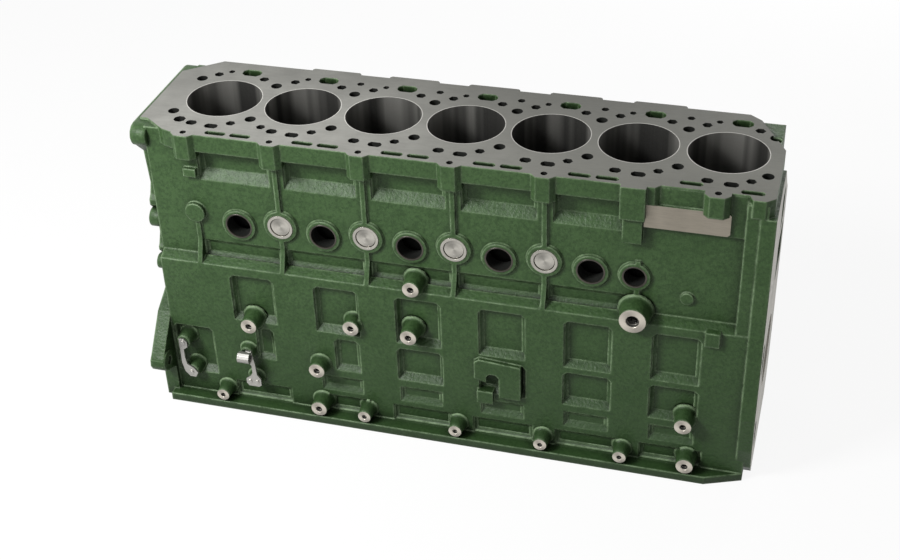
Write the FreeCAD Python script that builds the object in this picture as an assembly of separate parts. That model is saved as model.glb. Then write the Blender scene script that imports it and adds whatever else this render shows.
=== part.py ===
import FreeCAD, Part
import math
import os

# Seven-cylinder in-line engine block: one iron casting with a machined deck, parent bores,
# a closed water jacket, deep-skirt crankcase and eight main bearings, with its main bearing
# caps and bolts, core plugs, oil gallery plugs and two small steel brackets.
# Millimetres. X runs along the crankshaft, +Z is up through the deck, -Y is the side with
# the open core holes. The origin lies in the sump face, under the middle of the length.

V = FreeCAD.Vector

# Cylinders
cylinder_count = 7
bore_pitch = 150.0
bore_diameter = 135.0
bore_run_out = 20.0
barrel_wall = 10.0
deck_height = 584.0

# Crankshaft line and crankcase
crank_height = 190.0
main_bore_diameter = 108.0
seal_bore_diameter = 132.0
bulkhead_thickness = 28.0
end_bay_shortening = 7.0
bay_half_width = 118.0
bay_ceiling_rise = 110.0
bay_shoulder_rise = 58.0
bay_throat_half_width = 82.0
timing_space_length = 11.0
front_wall_thickness = 37.0
rear_wall_thickness = 15.0

# Main bearing caps
end_cap_thickness = 26.0
cap_half_width = 96.0
cap_height = 94.0
cap_chamfer = 26.0
cap_register_clearance = 0.05
cap_end_clearance = 1.0
cap_bolt_spacing = 148.0
cap_bolt_head_across_flats = 24.0
cap_bolt_head_height = 12.0

# Deck plate and the thick band of wall under it
deck_front_inset = 8.0
deck_rear_inset = 5.0
deck_corner_step = 14.0
deck_thickness = 26.0
apron_half_width = 138.0
apron_depth = 34.0
edge_boss_reach = 9.0
edge_boss_width = 24.0
edge_boss_depth = 48.0
edge_boss_hole_diameter = 12.0
edge_boss_hole_inset = 14.0
edge_boss_floor = 8.0
wide_boss_width = 42.0
wide_boss_depth = 62.0
wide_boss_foot_depth = 112.0
rear_pad_reach = 7.0
rear_pad_width = 94.0
rear_pad_shift = 15.0

# Walls
upper_half_width = 122.0
lower_half_width = 142.0
ledge_rise = 126.0
ledge_slope = 14.0
jacket_half_width = 98.0
jacket_depth = 222.0
rail_half_width = 168.0
rail_thickness = 16.0
rail_front_inset = 16.0
rail_rear_inset = 78.0

# Ribs and recess rows, which keep a pitch of their own along the wall
side_pitch_excess = 10.0
side_shift = 7.0
rib_thickness = 9.0
rib_reach = 5.0
rib_foot_height = 42.0
end_rib_drop = 154.0
recess_depth = 13.0
shallow_recess_depth = 9.0
recess_corner_cut = 7.0
recess_floor_slope = 11.0
window_pitch_excess = 4.0
window_shift = 17.0
first_window_shift = 8.0
large_window_width = 84.0
small_window_width = 86.0
slit_width = 80.0
slit_depth = 7.0
trough_width = 112.0
trough_height = 36.0
trough_depth = 8.0
trough_slope = 2.0
shelf_depth = 15.0
shelf_drop = 100.0
shelf_floor_rise = 18.0
upper_panel_drop = 227.0
upper_panel_depth = 7.0

# Head bolts and deck passages
head_bolt_offset = 64.0
head_bolt_end_inset = 4.0
head_bolt_diameter = 20.0
head_bolt_depth = 90.0
passage_depth = 28.0
edge_slot_width = 12.0
edge_slot_length = 38.0
edge_slot_inset = 13.0
edge_slot_bridge = 8.0

# Core holes and plugs along the side
core_hole_drop = 186.0
core_plug_drop = 177.0
core_hole_diameter = 46.0
small_core_hole_diameter = 38.0
small_core_hole_gap = 75.0
core_ring_width = 8.0
core_ring_reach = 5.0
core_plug_diameter = 47.0
core_plug_fit = 0.02
core_plug_depth = 14.0
core_plug_rim = 5.0
core_plug_floor = 5.0
core_plug_stand = 1.5

# Bosses on the near wall
boss_radius = 14.0
boss_hole_diameter = 13.0
long_boss_reach = 26.0
short_boss_reach = 13.0
small_boss_radius = 11.0
large_boss_radius = 22.0
large_boss_hole_diameter = 24.0
large_boss_reach = 20.0
boss_hole_depth = 22.0
rail_boss_reach = 3.0
side_disc_radius = 19.0
side_disc_reach = 9.0
hook_reach = 9.0

# Oil gallery plugs
gallery_offset = 60.0
gallery_plug_diameter = 26.0
gallery_plug_length = 14.0
gallery_plug_socket = 12.0
gallery_plug_fit = 0.02

# End flanges
flange_thickness = 26.0
flange_hole_diameter = 11.0
rear_flange_hole_depth = 20.0
foot_lobe_radius = 20.0
foot_lobe_offset = 180.0
foot_lobe_height = 106.0
top_lobe_radius = 20.0
top_lobe_offset = 112.0
top_lobe_drop = 24.0
waist_half_width = 86.0

# Sump rail drillings
sump_hole_diameter = 9.0
sump_hole_depth = 12.0
sump_hole_offset = 157.0

# Bare machined pad below the deck
pad_length = 140.0
pad_height = 43.0
pad_drop = 36.0
pad_face = 134.0
pad_corner_cut = 4.0
end_column_gap = 24.0

# Steel brackets on their cast lugs
bracket_thickness = 4.0
bracket_seat_reach = 16.0
strap_top = 139.0
strap_length = 68.0
strap_width = 13.0
loop_foot_height = 71.0
loop_length = 60.0
loop_width = 26.0
loop_eye_radius = 11.0
loop_eye_length = 23.0
bracket_lug_radius = 13.0
rivet_head_radius = 4.5
rivet_head_height = 2.0

round_sides = 12
small_round_sides = 8
ring_sides = 20
overcut = 2.0

bore_x = [(i - (cylinder_count - 1) / 2.0) * bore_pitch for i in range(cylinder_count)]
mid_x = [x + bore_pitch / 2.0 for x in bore_x[:-1]]
end_bolt_x = bore_x[-1] + bore_pitch / 2.0 - head_bolt_end_inset
bolt_x = [-end_bolt_x] + mid_x + [end_bolt_x]
bay_half_length = (bore_pitch - bulkhead_thickness) / 2.0
end_cap_inner = bore_x[-1] + bay_half_length - end_bay_shortening
end_cap_outer = end_cap_inner + end_cap_thickness
front_tunnel_end = -end_cap_outer - timing_space_length
front_length = -front_tunnel_end + front_wall_thickness
rear_tunnel_end = end_cap_outer + cap_end_clearance
rear_length = rear_tunnel_end + rear_wall_thickness
deck_front = -front_length + deck_front_inset
deck_rear = rear_length - deck_rear_inset
case_front = -front_length + flange_thickness
case_rear = rear_length - flange_thickness / 2.0

ledge_height = crank_height + ledge_rise
bay_ceiling = crank_height + bay_ceiling_rise
bay_shoulder = crank_height + bay_shoulder_rise
cap_bottom = crank_height - cap_height
apron_bottom = deck_height - apron_depth
core_hole_height = deck_height - core_hole_drop
core_plug_height = deck_height - core_plug_drop
core_ring_radius = core_hole_diameter / 2.0 + core_ring_width
bracket_seat_face = lower_half_width + bracket_seat_reach
core_plug_seat_depth = core_plug_depth - core_plug_stand
gallery_height = core_hole_height - core_ring_radius

side_pitch = bore_pitch + side_pitch_excess
window_pitch = bore_pitch + window_pitch_excess
window_count = cylinder_count - 1


def along(steps):
    """Place along the wall, counted in side pitches from the middle rib."""
    return side_shift + side_pitch * steps


def up(share):
    """Height on the crankcase wall, as a share of the ledge's height."""
    return ledge_height * share


rib_x = [along(k) for k in (-2, -1, 0, 1)]
panel_x = [along(k) for k in (-3, -2, -1, 0, 1)]
core_hole_x = [along(k - 0.5) for k in (-2, -1, 0, 1, 2)]
small_core_hole_x = core_hole_x[-1] + small_core_hole_gap
wide_boss_x = along(1.93)
window_x = [window_shift + window_pitch * (k - (window_count - 1) / 2.0)
            for k in range(window_count)]
window_x[0] -= first_window_shift
pad_left = along(2) + side_shift
pad_right = pad_left + pad_length
pad_top = deck_height - pad_drop
pad_bottom = pad_top - pad_height


def box(x0, x1, y0, y1, z0, z1):
    return Part.makeBox(x1 - x0, y1 - y0, z1 - z0, V(x0, y0, z0))


def rod_x(x0, x1, y, z, radius):
    return Part.makeCylinder(radius, x1 - x0, V(x0, y, z), V(1, 0, 0))


def rod_y(x, y0, y1, z, radius):
    return Part.makeCylinder(radius, y1 - y0, V(x, y0, z), V(0, 1, 0))


def rod_z(x, y, z0, z1, radius):
    return Part.makeCylinder(radius, z1 - z0, V(x, y, z0), V(0, 0, 1))


def prism(points, run):
    """Closed polygon pushed along run."""
    wire = Part.makePolygon(points + [points[0]])
    return Part.Face(wire).extrude(run)


def prism_x(points_yz, x0, x1):
    return prism([V(x0, y, z) for y, z in points_yz], V(x1 - x0, 0, 0))


def prism_y(points_xz, y0, y1):
    return prism([V(x, y0, z) for x, z in points_xz], V(0, y1 - y0, 0))


def prism_z(points_xy, z0, z1):
    return prism([V(x, y, z0) for x, y in points_xy], V(0, 0, z1 - z0))


def circle_points(a, b, radius, sides):
    """Corners of a many-sided round, with a flat at its top and bottom."""
    turn = 2.0 * math.pi / sides
    return [(a + radius * math.cos(turn * (k + 0.5)), b + radius * math.sin(turn * (k + 0.5)))
            for k in range(sides)]


def stub_y(x, y0, y1, z, radius, sides=round_sides):
    """Cast round boss or hole that runs into the wall."""
    return prism_y(circle_points(x, z, radius, sides), y0, y1)


def cut_corners(x, y, length, width, share):
    """Rectangle about a point with its corners cut."""
    a = length / 2.0
    b = width / 2.0
    c = share * b
    return [(x - a, y - b + c), (x - a + c, y - b), (x + a - c, y - b), (x + a, y - b + c),
            (x + a, y + b - c), (x + a - c, y + b), (x - a + c, y + b), (x - a, y + b - c)]


def to_far_side(shape):
    return shape.mirror(V(0, 0, 0), V(0, 1, 0))


def on_both_sides(shapes):
    return shapes + [to_far_side(s) for s in shapes]


def recess(x0, x1, z0, z1, depth, slope):
    """Cast recess on the -Y wall of the crankcase, with a drafted lower wall."""
    back = -(lower_half_width - depth)
    mouth = -(lower_half_width + overcut)
    lip = z0 - slope * overcut / depth
    return prism_x([(mouth, lip), (back, z0 + slope), (back, z1), (mouth, z1)], x0, x1)


def window(centre, width, low, high, depth=recess_depth):
    """Recess with cut corners. Its lower and upper ends are shares of the ledge's height."""
    left = centre - width / 2.0
    right = centre + width / 2.0
    bottom = up(low)
    top = up(high)
    c = recess_corner_cut
    back = -(lower_half_width - depth)
    mouth = -(lower_half_width + overcut)
    outline = [(left, bottom), (right, bottom), (right, top - c), (right - c, top),
               (left + c, top), (left, top - c)]
    body = recess(left, right, bottom, top, depth, recess_floor_slope)
    return body.common(prism_y(outline, mouth, back))


# Outside of the casting

def deck_outline():
    near = apron_half_width
    s = deck_corner_step
    gap = bore_x[-2] + bore_pitch / 3.0
    return [(deck_front, -0.71 * near), (deck_front + s, -0.71 * near),
            (deck_front + 4.0 * s, -0.94 * near), (deck_front + 6.0 * s, -near), (gap, -near),
            (gap + 0.6 * s, -0.93 * near), (deck_rear - 3.0 * s, -0.93 * near),
            (deck_rear - 2.5 * s, -1.03 * near), (deck_rear - s, -1.03 * near),
            (deck_rear, -0.94 * near), (deck_rear, 0.19 * near),
            (deck_rear - 3.5 * s, 0.88 * near), (deck_rear - 5.0 * s, near),
            (deck_front + 4.5 * s, near), (deck_front, 0.61 * near)]


def edge_boss(x, depth):
    """Chamfered boss on the deck's near edge, which carries one drilled hole."""
    half = edge_boss_width / 2.0
    face = -(apron_half_width + edge_boss_reach)
    root = -(upper_half_width - rib_reach)
    flare = edge_boss_reach
    outline = [(x - half, face), (x + half, face), (x + half + flare, face + flare),
               (x + half + flare, root), (x - half - flare, root),
               (x - half - flare, face + flare)]
    return prism_z(outline, deck_height - depth, deck_height)


def wide_boss():
    """Broad column below the sixth cylinder's edge boss, with a step half-way down."""
    half = wide_boss_width / 2.0
    face = -(apron_half_width + edge_boss_reach)
    root = -(jacket_half_width + barrel_wall)
    step = edge_boss_reach
    top = box(wide_boss_x - half, wide_boss_x + half, face, root, deck_height - wide_boss_depth,
              deck_height)
    foot = box(wide_boss_x - half + step / 2.0, wide_boss_x + half - step / 2.0, face + step, root,
               deck_height - wide_boss_foot_depth, deck_height)
    return [top, foot]


def rear_pads():
    """Shallow pads along the deck's far edge."""
    pads = []
    reach = apron_half_width + rear_pad_reach
    c = rear_pad_reach / 2.0
    for x in bore_x[1:-1]:
        left = x + rear_pad_shift - rear_pad_width / 2.0
        right = left + rear_pad_width
        pads.append(prism_z([(left, upper_half_width), (right, upper_half_width),
                             (right, reach - c), (right - c, reach), (left + c, reach),
                             (left, reach - c)], apron_bottom, deck_height))
    return pads


def side_rib(x, top):
    """Thin vertical rib that grows from the wall and runs out onto the ledge."""
    bottom = ledge_height
    face = -(upper_half_width + rib_reach)
    root = -(upper_half_width - upper_panel_depth - overcut)
    return prism_x([(root, bottom), (-lower_half_width, bottom),
                    (face, bottom + rib_foot_height), (face, top), (root, top)],
                   x - rib_thickness / 2.0, x + rib_thickness / 2.0)


def crankcase():
    slope_top = ledge_height + ledge_slope
    half = upper_half_width - upper_panel_depth
    foot = rail_thickness / 2.0
    body = prism_x([(-lower_half_width, foot), (-lower_half_width, ledge_height),
                    (-half, slope_top), (half, slope_top), (lower_half_width, ledge_height),
                    (lower_half_width, foot)], case_front, case_rear)
    near = rail_half_width
    left = -front_length + rail_front_inset
    right = rear_length - rail_rear_inset
    rail = prism_z([(left, -near), (right, -near), (case_rear, -lower_half_width),
                    (case_rear, lower_half_width), (right, near), (left, near)],
                   0.0, rail_thickness)
    return [body, rail]


def lobe(y, z, radius, start, end, count):
    """Points round a flange lobe, from one angle to another in degrees."""
    turn = (end - start) / (count - 1.0)
    return [(y + radius * math.cos(math.radians(start + turn * k)),
             z + radius * math.sin(math.radians(start + turn * k))) for k in range(count)]


def front_flange():
    """Scalloped bolting flange at the front end, waisted between its feet and the deck."""
    foot_y = foot_lobe_offset
    top_y = top_lobe_offset
    top_z = deck_height - top_lobe_drop
    waist = waist_half_width
    side = [(0.84 * foot_y, 0.0), (0.84 * foot_y, foot_lobe_height - 1.8 * foot_lobe_radius)]
    side += lobe(foot_y, foot_lobe_height, foot_lobe_radius, -80.0, 60.0, 5)
    side += [(0.77 * foot_y, up(0.60)), (1.02 * waist, up(0.70)), (0.95 * waist, up(0.88))]
    side += lobe(waist, up(0.96), foot_lobe_radius / 2.0, -60.0, 60.0, 4)
    side += [(0.95 * waist, up(1.05)), (0.95 * waist, up(1.21))]
    side += lobe(waist, up(1.29), 0.8 * foot_lobe_radius, -60.0, 60.0, 4)
    side += [(waist, up(1.40)), (1.07 * waist, up(1.62))]
    side += lobe(top_y, top_z, top_lobe_radius, -60.0, 90.0, 6)
    outline = side + [(-y, z) for y, z in reversed(side)]
    return prism_x(outline, -front_length, case_front)


def rear_flange():
    """Broad seat for the flywheel housing, round below the crankshaft, flat on its end."""
    wide = lower_half_width + core_plug_depth
    low = [(0.72 * wide, 0.0), (0.88 * wide, up(0.09)), (0.97 * wide, up(0.24)),
           (wide, up(0.47))]
    near = [(-y, z) for y, z in low] + [(-0.97 * wide, up(0.66)), (-0.93 * wide, up(1.04)),
                                        (-0.91 * wide, apron_bottom)]
    far = [(0.13 * wide, apron_bottom), (0.61 * wide, deck_height - shelf_drop),
           (0.88 * wide, up(1.43)), (0.98 * wide, up(1.04))]
    return prism_x(near + far + list(reversed(low)), rear_length - flange_thickness, rear_length)


def core_rings():
    face = -(upper_half_width + core_ring_reach)
    root = -(jacket_half_width + core_ring_reach)
    rings = [stub_y(x, face, root, core_hole_height, core_ring_radius, ring_sides)
             for x in core_hole_x]
    rings += [stub_y(x, face, root, core_plug_height, core_ring_radius, ring_sides)
              for x in rib_x]
    rings.append(stub_y(small_core_hole_x, face, root, core_hole_height,
                        small_core_hole_diameter / 2.0 + core_ring_width, ring_sides))
    return rings


def wall_bosses():
    """Bosses on the near wall: place, outer radius, face, hole radius."""
    small_hole = boss_hole_diameter / 2.0
    bosses = []
    for steps, share in [(-2.42, 0.65), (-0.49, 0.735), (-1.63, 0.395)]:
        bosses.append((along(steps), up(share), boss_radius, lower_half_width + long_boss_reach,
                       small_hole))
    for steps, share in [(-1.2, 0.71), (-0.46, 1.04)]:
        bosses.append((along(steps), up(share), boss_radius, lower_half_width + short_boss_reach,
                       small_hole))
    for steps in (-2.86, -1.08, 0.02, 1.02, 1.93):
        bosses.append((along(steps), up(0.108), small_boss_radius,
                       rail_half_width + rail_boss_reach, 0.45 * small_boss_radius))
    for steps in (-1.64, 2.66):
        bosses.append((along(steps), up(0.115), boss_radius, rail_half_width + rail_boss_reach,
                       small_hole))
    bosses.append((along(2.61), up(0.39), boss_radius, lower_half_width + long_boss_reach,
                   small_hole))
    bosses.append((along(2.0), up(1.05), large_boss_radius, lower_half_width + large_boss_reach,
                   large_boss_hole_diameter / 2.0))
    return bosses


def near_wall_details():
    pieces = []
    root = -(lower_half_width - recess_depth - trough_depth)
    for x, z, radius, face, hole in wall_bosses():
        sides = small_round_sides if radius == small_boss_radius else round_sides
        pieces.append(stub_y(x, -face, root, z, radius, sides))
    upper_root = -(upper_half_width - upper_panel_depth)
    disc_face = -(upper_half_width + side_disc_reach)
    disc = stub_y(along(-3.01), disc_face, upper_root, core_hole_height + side_disc_radius,
                  side_disc_radius, ring_sides)
    lug_bottom = deck_height - shelf_drop + trough_depth
    lug = box(along(-3.08), along(-2.93), disc_face, upper_root, lug_bottom,
              lug_bottom + rail_thickness)
    dimple = stub_y(along(2.53), -(upper_half_width + core_ring_reach), upper_root,
                    core_hole_height - core_ring_radius, side_disc_radius / 1.6, round_sides)
    ledge_lug = box(along(2.76), along(2.92), -(lower_half_width + core_ring_width),
                    upper_root, up(0.92), up(1.01))
    pad_block = box(pad_left, pad_right + end_column_gap, -(pad_face - core_ring_reach),
                    -jacket_half_width - core_ring_width, pad_bottom - pad_corner_cut,
                    deck_height - pad_corner_cut)
    end_column = box(pad_right + end_column_gap, case_rear, -(apron_half_width + overcut),
                     -jacket_half_width - core_ring_width, ledge_height,
                     deck_height - apron_depth / 3.0)
    return pieces + [disc, lug, dimple, ledge_lug, pad_block, end_column]


def machined_pad():
    c = pad_corner_cut
    outline = [(pad_left, pad_bottom), (pad_right - c, pad_bottom), (pad_right, pad_bottom + c),
               (pad_right, pad_top - c), (pad_right - c, pad_top), (pad_left, pad_top)]
    return prism_y(outline, -pad_face, -pad_face + 2.0 * core_ring_reach)


def cast_hook():
    """Hooked web with two small drilled lugs, in place of the fourth small window."""
    w = small_window_width
    left = window_x[3] - 0.58 * w
    face = -(lower_half_width + hook_reach)
    root = -(lower_half_width - recess_depth - overcut)
    arm = prism_y([(left, up(0.475)), (left, up(0.59)), (left + 0.1 * w, up(0.61)),
                   (left + w, up(0.59)), (left + w, up(0.355)), (left + 0.53 * w, up(0.355)),
                   (left + 0.53 * w, up(0.495)), (left + 0.46 * w, up(0.515)),
                   (left + 0.33 * w, up(0.515)), (left + 0.26 * w, up(0.495)),
                   (left + 0.26 * w, up(0.455))], face, root)
    foot = box(left + 0.05 * w, left + 0.4 * w, face, root, up(0.3), up(0.385))
    return [arm, foot]


def strap_feet():
    """Places of the strap's two rivets."""
    return [(along(-3.32), strap_top), (along(-3.26), strap_top - strap_length)]


def loop_feet():
    """Places of the looped bracket's two rivets, and of its eye."""
    x = along(-2.51)
    return [(x, loop_foot_height), (x + 0.55 * loop_width, loop_foot_height),
            (x - 0.08 * loop_width, loop_foot_height + loop_length)]


def bracket_lugs():
    """Cast lugs that carry the two steel brackets."""
    root = -(lower_half_width - recess_depth - overcut)
    top, foot = strap_feet()
    left, right, eye = loop_feet()
    places = [(top[0], top[1]), (foot[0], foot[1]), (eye[0], eye[1] + overcut),
              ((left[0] + right[0]) / 2.0, left[1])]
    return [stub_y(x, -bracket_seat_face, root, z, bracket_lug_radius) for x, z in places]


# Inside of the casting

def water_jacket():
    """Water space along each side of the siamesed barrels."""
    top = deck_height - deck_thickness
    inner = bore_diameter / 2.0 + barrel_wall
    end = bore_x[-1] + inner
    return on_both_sides([box(-end, end, -jacket_half_width, -inner, deck_height - jacket_depth,
                              top)])


def cylinders():
    return [rod_z(x, 0.0, bay_ceiling - bore_run_out, deck_height + overcut, bore_diameter / 2.0)
            for x in bore_x]


def crank_bays():
    section = [(-bay_half_width, -overcut), (-bay_half_width, bay_shoulder),
               (-bay_throat_half_width, bay_ceiling), (bay_throat_half_width, bay_ceiling),
               (bay_half_width, bay_shoulder), (bay_half_width, -overcut)]
    cuts = [prism_x(section, max(x - bay_half_length, -end_cap_inner),
                    min(x + bay_half_length, end_cap_inner)) for x in bore_x]
    cuts.append(prism_x(section, front_tunnel_end, -end_cap_outer))
    cuts.append(box(front_tunnel_end, rear_tunnel_end, -cap_half_width, cap_half_width, -overcut,
                    crank_height))
    return cuts


def main_bearings():
    r = main_bore_diameter / 2.0
    return [rod_x(-front_length - overcut, rear_tunnel_end + overcut, 0.0, crank_height, r),
            rod_x(rear_tunnel_end - cap_end_clearance / 2.0, rear_length + overcut, 0.0,
                  crank_height, seal_bore_diameter / 2.0)]


def cap_spans():
    """End faces of the main bearing caps, one cap under each bulkhead."""
    half = bulkhead_thickness / 2.0
    inner = [(x - half, x + half) for x in mid_x]
    return [(-end_cap_outer, -end_cap_inner)] + inner + [(end_cap_inner, end_cap_outer)]


# Machining of the deck

def head_bolt_holes():
    return [rod_z(x, y, deck_height - head_bolt_depth, deck_height + overcut,
                  head_bolt_diameter / 2.0)
            for x in bolt_x for y in (-head_bolt_offset, head_bolt_offset)]


def passage(x, y, length, width):
    """Cast passage that opens in the deck."""
    if length < edge_slot_length / 2.0:
        outline = [(x - length / 2.0, y), (x - length / 4.0, y - width / 2.0),
                   (x + length / 4.0, y - width / 2.0), (x + length / 2.0, y),
                   (x + length / 4.0, y + width / 2.0), (x - length / 4.0, y + width / 2.0)]
    else:
        outline = cut_corners(x, y, length, width, 0.58)
    return prism_z(outline, deck_height - passage_depth, deck_height + overcut)


def deck_passages():
    """Cast water and oil passages, in the same pattern round each cylinder."""
    p = bore_pitch
    w = edge_slot_width
    cuts = []
    for i, x in enumerate(bore_x):
        cuts += [passage(x - 0.15 * p, -0.65 * p, 1.6 * w, 1.3 * w),
                 passage(x + 0.11 * p, -0.68 * p, 2.0 * w, 1.25 * w),
                 passage(x + 0.31 * p, -0.57 * p, 1.5 * w, 1.2 * w),
                 passage(x - 0.31 * p, 0.57 * p, 1.5 * w, 1.25 * w),
                 passage(x + 0.29 * p, 0.56 * p, 1.55 * w, 1.25 * w),
                 passage(x - 0.18 * p, 0.67 * p, w, 0.9 * w),
                 passage(x + 0.08 * p, 0.69 * p, 3.0 * w, 2.0 * w)]
        if 0 < i < cylinder_count - 1:
            cuts.append(passage(x + 0.49 * p, 0.69 * p, 1.2 * w, w))
    cuts.append(passage(bore_x[0] - 0.32 * p, -0.6 * p, 1.7 * w, 1.6 * w))
    cuts.append(passage(bore_x[1] - 0.31 * p, -0.58 * p, 1.4 * w, 1.2 * w))
    return cuts


def edge_boss_holes():
    y = -(apron_half_width + edge_boss_reach - edge_boss_hole_inset)
    r = edge_boss_hole_diameter / 2.0
    return [prism_z(circle_points(x, y, r, small_round_sides),
                    deck_height - edge_boss_depth + edge_boss_floor, deck_height + overcut)
            for x in panel_x + [bore_x[-1]]]


def edge_slots():
    """Cast slots just inside the near edge, in pairs with a bridge between."""
    cuts = []
    y = -(apron_half_width - edge_slot_inset)
    half = (edge_slot_length + edge_slot_bridge) / 2.0
    for x in panel_x:
        for side in (-1.0, 1.0):
            cuts.append(passage(x + side_pitch / 2.0 + side * half, y, edge_slot_length,
                                edge_slot_width))
    last = bore_x[-1]
    cuts.append(passage(last - 1.2 * edge_slot_length, y + edge_slot_inset, edge_slot_length,
                        edge_slot_width))
    cuts.append(passage(last + 1.4 * edge_slot_length, y + edge_slot_inset / 2.6,
                        edge_slot_length, edge_slot_width))
    return cuts


# Recess rows and side holes

def shelf_recesses():
    """Deep recesses under the deck's apron, each with a sloping floor."""
    floor = deck_height - shelf_drop
    back = -(upper_half_width - shelf_depth)
    mouth = -(upper_half_width + overcut)
    margin = edge_boss_width / 2.0 + overcut
    return [prism_x([(mouth, floor - overcut), (back, floor + shelf_floor_rise),
                     (back, apron_bottom), (mouth, apron_bottom)],
                    x + margin, x + side_pitch - margin) for x in panel_x]


def near_windows():
    """Rows of recesses between the crankcase ribs, on the near wall."""
    cuts = [window(along(-3.22), slit_width, 0.19, 0.53)]
    for k, x in enumerate(window_x):
        cuts.append(window(x, large_window_width, 0.627, 0.943))
        if k < 2:
            width = (0.4 + 0.16 * k) * small_window_width
            cuts.append(window(x + small_window_width / 6.0, width, 0.358, 0.588,
                               shallow_recess_depth))
        else:
            cuts.append(window(x, small_window_width, 0.358, 0.588))
        if k > 0:
            cuts.append(recess(x - slit_width / 2.0, x + slit_width / 2.0, up(0.2), up(0.307),
                               slit_depth, recess_floor_slope))
    return cuts


def far_windows():
    """The same rows on the far wall, between its bulkheads."""
    cuts = []
    for x in mid_x:
        half = large_window_width / 2.0
        cuts.append(recess(x - half, x + half, up(0.627), up(0.943), recess_depth,
                           recess_floor_slope))
        cuts.append(recess(x - half, x + half, up(0.358), up(0.588), recess_depth,
                           recess_floor_slope))
    return [to_far_side(c) for c in cuts]


def rail_troughs():
    half = trough_width / 2.0
    return [recess(x - half, x + half, rail_thickness, rail_thickness + trough_height,
                   trough_depth, trough_slope) for x in window_x]


def upper_panels():
    """Clears the wall back to the long shallow panels above the ledge."""
    back = -(upper_half_width - upper_panel_depth)
    mouth = -(upper_half_width + overcut)
    top = deck_height - upper_panel_drop
    return [prism_x([(mouth, ledge_height), (back, ledge_height + ledge_slope), (back, top),
                     (mouth, top)], x + rib_thickness / 2.0,
                    x + side_pitch - rib_thickness / 2.0) for x in panel_x]


def side_holes():
    face = -(upper_half_width + core_ring_reach + overcut)
    inner = -(jacket_half_width - overcut)
    cuts = [rod_y(x, face, inner, core_hole_height, core_hole_diameter / 2.0)
            for x in core_hole_x]
    cuts.append(rod_y(small_core_hole_x, face, inner, core_hole_height,
                      small_core_hole_diameter / 2.0))
    return cuts


def plug_seats():
    """Counterbores for the core plugs, down to a shoulder that they seat on."""
    r = core_plug_diameter / 2.0
    near_face = -(upper_half_width + core_ring_reach)
    far_face = -upper_half_width
    near = [rod_y(x, near_face - overcut, near_face + core_plug_seat_depth, core_plug_height, r)
            for x in rib_x]
    far = [to_far_side(rod_y(x, far_face - overcut, far_face + core_plug_seat_depth,
                             core_plug_height, r)) for x in bore_x[1::2]]
    return near + far


def boss_holes():
    return [stub_y(x, -face - overcut, -face + boss_hole_depth, z, hole,
                   small_round_sides if radius < large_boss_radius else round_sides)
            for x, z, radius, face, hole in wall_bosses()]


def front_flange_bolts():
    return [(foot_lobe_offset, foot_lobe_height), (top_lobe_offset, deck_height - top_lobe_drop)]


def rear_flange_bolts():
    """Half-spacings and heights of the bolt pairs of the flywheel housing's seat."""
    wide = lower_half_width
    return [(wide, up(0.42)), (0.98 * wide, up(0.85)), (0.9 * wide, up(1.3))]


def flange_holes():
    cuts = []
    r = flange_hole_diameter / 2.0
    for side in (-1.0, 1.0):
        for y, z in front_flange_bolts():
            cuts.append(rod_x(-front_length - overcut, case_front + overcut, side * y, z, r))
        for y, z in rear_flange_bolts():
            cuts.append(rod_x(rear_length - rear_flange_hole_depth, rear_length + overcut,
                              side * y, z, r))
    return cuts


def rear_openings():
    """Cast openings in the rear end face, beside and above the crankshaft bore."""
    w = lower_half_width
    c = recess_corner_cut
    cuts = []
    for left, right, low, high in [(0.09, 0.5, 1.37, 1.58), (0.11, 0.8, 1.03, 1.28),
                                   (-0.83, -0.6, 0.68, 0.88), (-0.88, -0.66, 0.2, 0.36)]:
        y0, y1, z0, z1 = left * w, right * w, up(low), up(high)
        outline = [(y0, z0 + c), (y0 + c, z0), (y1 - c, z0), (y1, z0 + c), (y1, z1 - 2.0 * c),
                   (y1 - 2.0 * c, z1), (y0 + c, z1), (y0, z1 - c)]
        cuts.append(prism_x(outline, rear_length - rear_wall_thickness, rear_length + overcut))
    return cuts


def gallery_seats():
    r = gallery_plug_diameter / 2.0
    return [rod_x(-front_length - overcut, -front_length + gallery_plug_length, -gallery_offset,
                  gallery_height, r),
            rod_x(rear_length - gallery_plug_length, rear_length + overcut, -gallery_offset,
                  gallery_height, r)]


def sump_holes():
    return [rod_z(x, y, -overcut, sump_hole_depth, sump_hole_diameter / 2.0)
            for x in mid_x[::len(mid_x) - 1] for y in (-sump_hole_offset, sump_hole_offset)]


def cylinder_block():
    shoulder = apron_depth / 8.0
    upper = box(case_front - overcut, case_rear, -upper_half_width, upper_half_width,
                ledge_height, deck_height - shoulder)
    slab = prism_z(deck_outline(), apron_bottom, deck_height)
    solids = [slab, front_flange(), rear_flange()] + crankcase()
    solids += [edge_boss(x, edge_boss_depth) for x in panel_x]
    solids.append(edge_boss(bore_x[-1], edge_boss_depth - edge_boss_floor))
    solids += wide_boss() + rear_pads()
    cast = upper.fuse(solids)
    cast = cast.cut(shelf_recesses() + on_both_sides(upper_panels()) + near_windows()
                    + far_windows() + on_both_sides(rail_troughs()))
    ribs = [side_rib(x, apron_bottom) for x in rib_x]
    far_ribs = [to_far_side(rib) for rib in ribs]
    end_ribs = [side_rib(along(k), deck_height - end_rib_drop) for k in (-3, 2)]
    cast = cast.fuse(ribs + far_ribs + end_ribs + core_rings() + near_wall_details()
                     + cast_hook() + bracket_lugs() + [machined_pad()])
    cuts = water_jacket() + cylinders() + crank_bays() + main_bearings() + head_bolt_holes()
    cuts += deck_passages() + edge_boss_holes() + edge_slots() + side_holes() + plug_seats()
    cuts += boss_holes() + flange_holes() + rear_openings() + gallery_seats() + sump_holes()
    return cast.cut(cuts).removeSplitter()


# Loose pieces

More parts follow.
